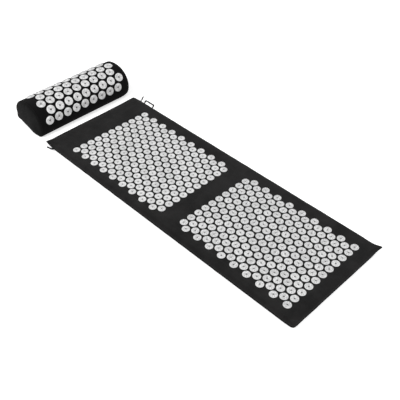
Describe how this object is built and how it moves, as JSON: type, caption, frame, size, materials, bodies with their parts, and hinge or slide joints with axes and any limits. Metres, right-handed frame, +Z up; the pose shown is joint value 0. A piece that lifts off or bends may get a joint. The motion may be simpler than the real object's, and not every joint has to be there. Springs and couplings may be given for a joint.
{
  "type": "acupressure mat with neck pillow",
  "caption": "Flat padded fabric mat and a D-section neck pillow, both covered in rows of pale plastic spike discs, with zipped covers, a hanging loop and a side tab.",
  "frame": {"origin": "centre of the mat's flat underside, on the floor that the mat and the pillow lie on", "axes": "+Y along the mat to its head end and the pillow, +Z up, +X to the side with the zip and the hanging loop"},
  "size_m": [0.4531, 1.329, 0.1106],
  "materials": {
    "mat_cotton": "matt black woven cotton, with welded discs of pale grey-white moulded plastic",
    "pillow_cotton": "matt black woven cotton, with welded discs of pale grey-white moulded plastic on the curved cover",
    "foam": null,
    "zip_tape": "black woven tape",
    "zip_coil": "black nylon monofilament",
    "zip_enamel": "satin black enamel on die-cast zinc",
    "webbing": "black woven ribbon"
  },
  "bodies": {
    "mat": {"mat_top_cover": "mat_cotton", "mat_bottom_cover": "mat_cotton", "mat_foam_core": "foam", "mat_zip_tape_upper": "zip_tape", "mat_zip_tape_lower": "zip_tape", "mat_zip_coil_upper": "zip_coil", "mat_zip_coil_lower": "zip_coil", "mat_zip_top_stop_upper": "zip_enamel", "mat_zip_top_stop_lower": "zip_enamel", "mat_zip_bottom_stop": "zip_enamel", "mat_hanging_loop": "webbing", "mat_side_tab": "webbing"},
    "mat_zip_slider": {"mat_zip_slider": "zip_enamel"},
    "mat_zip_pull": {"mat_zip_pull": "zip_enamel"},
    "pillow": {"pillow_cover": "pillow_cotton", "pillow_left_end": "pillow_cotton", "pillow_right_end": "pillow_cotton", "pillow_base": "pillow_cotton", "pillow_foam_core": "foam", "pillow_zip_tape_upper": "zip_tape", "pillow_zip_tape_lower": "zip_tape", "pillow_zip_coil_upper": "zip_coil", "pillow_zip_coil_lower": "zip_coil", "pillow_zip_top_stop_upper": "zip_enamel", "pillow_zip_top_stop_lower": "zip_enamel", "pillow_zip_bottom_stop": "zip_enamel"},
    "pillow_zip_slider": {"pillow_zip_slider": "zip_enamel"},
    "pillow_zip_pull": {"pillow_zip_pull": "zip_enamel"}
  },
  "joints": [
    {"name": "mat_zip_slide", "type": "slide", "parent": "mat", "child": "mat_zip_slider", "axis": [0, -1, 0], "range_m": [0, 0.788]},
    {"name": "mat_zip_pull_hinge", "type": "hinge", "parent": "mat_zip_slider", "child": "mat_zip_pull", "pos_m": [0.20828, 0.5247, 0.01], "axis": [0, 0, 1], "range_deg": [-122, 54]},
    {"name": "pillow_lift", "type": "slide", "parent": "mat", "child": "pillow", "axis": [0, 0, 1], "range_m": [0, 0.3]},
    {"name": "pillow_zip_slide", "type": "slide", "parent": "pillow", "child": "pillow_zip_slider", "axis": [1, 0, 0], "range_m": [0, 0.288]},
    {"name": "pillow_zip_pull_hinge", "type": "hinge", "parent": "pillow_zip_slider", "child": "pillow_zip_pull", "pos_m": [-0.1322, 0.76078, 0.023], "axis": [0, 0, 1], "range_deg": [-163, 13]}
  ]
}
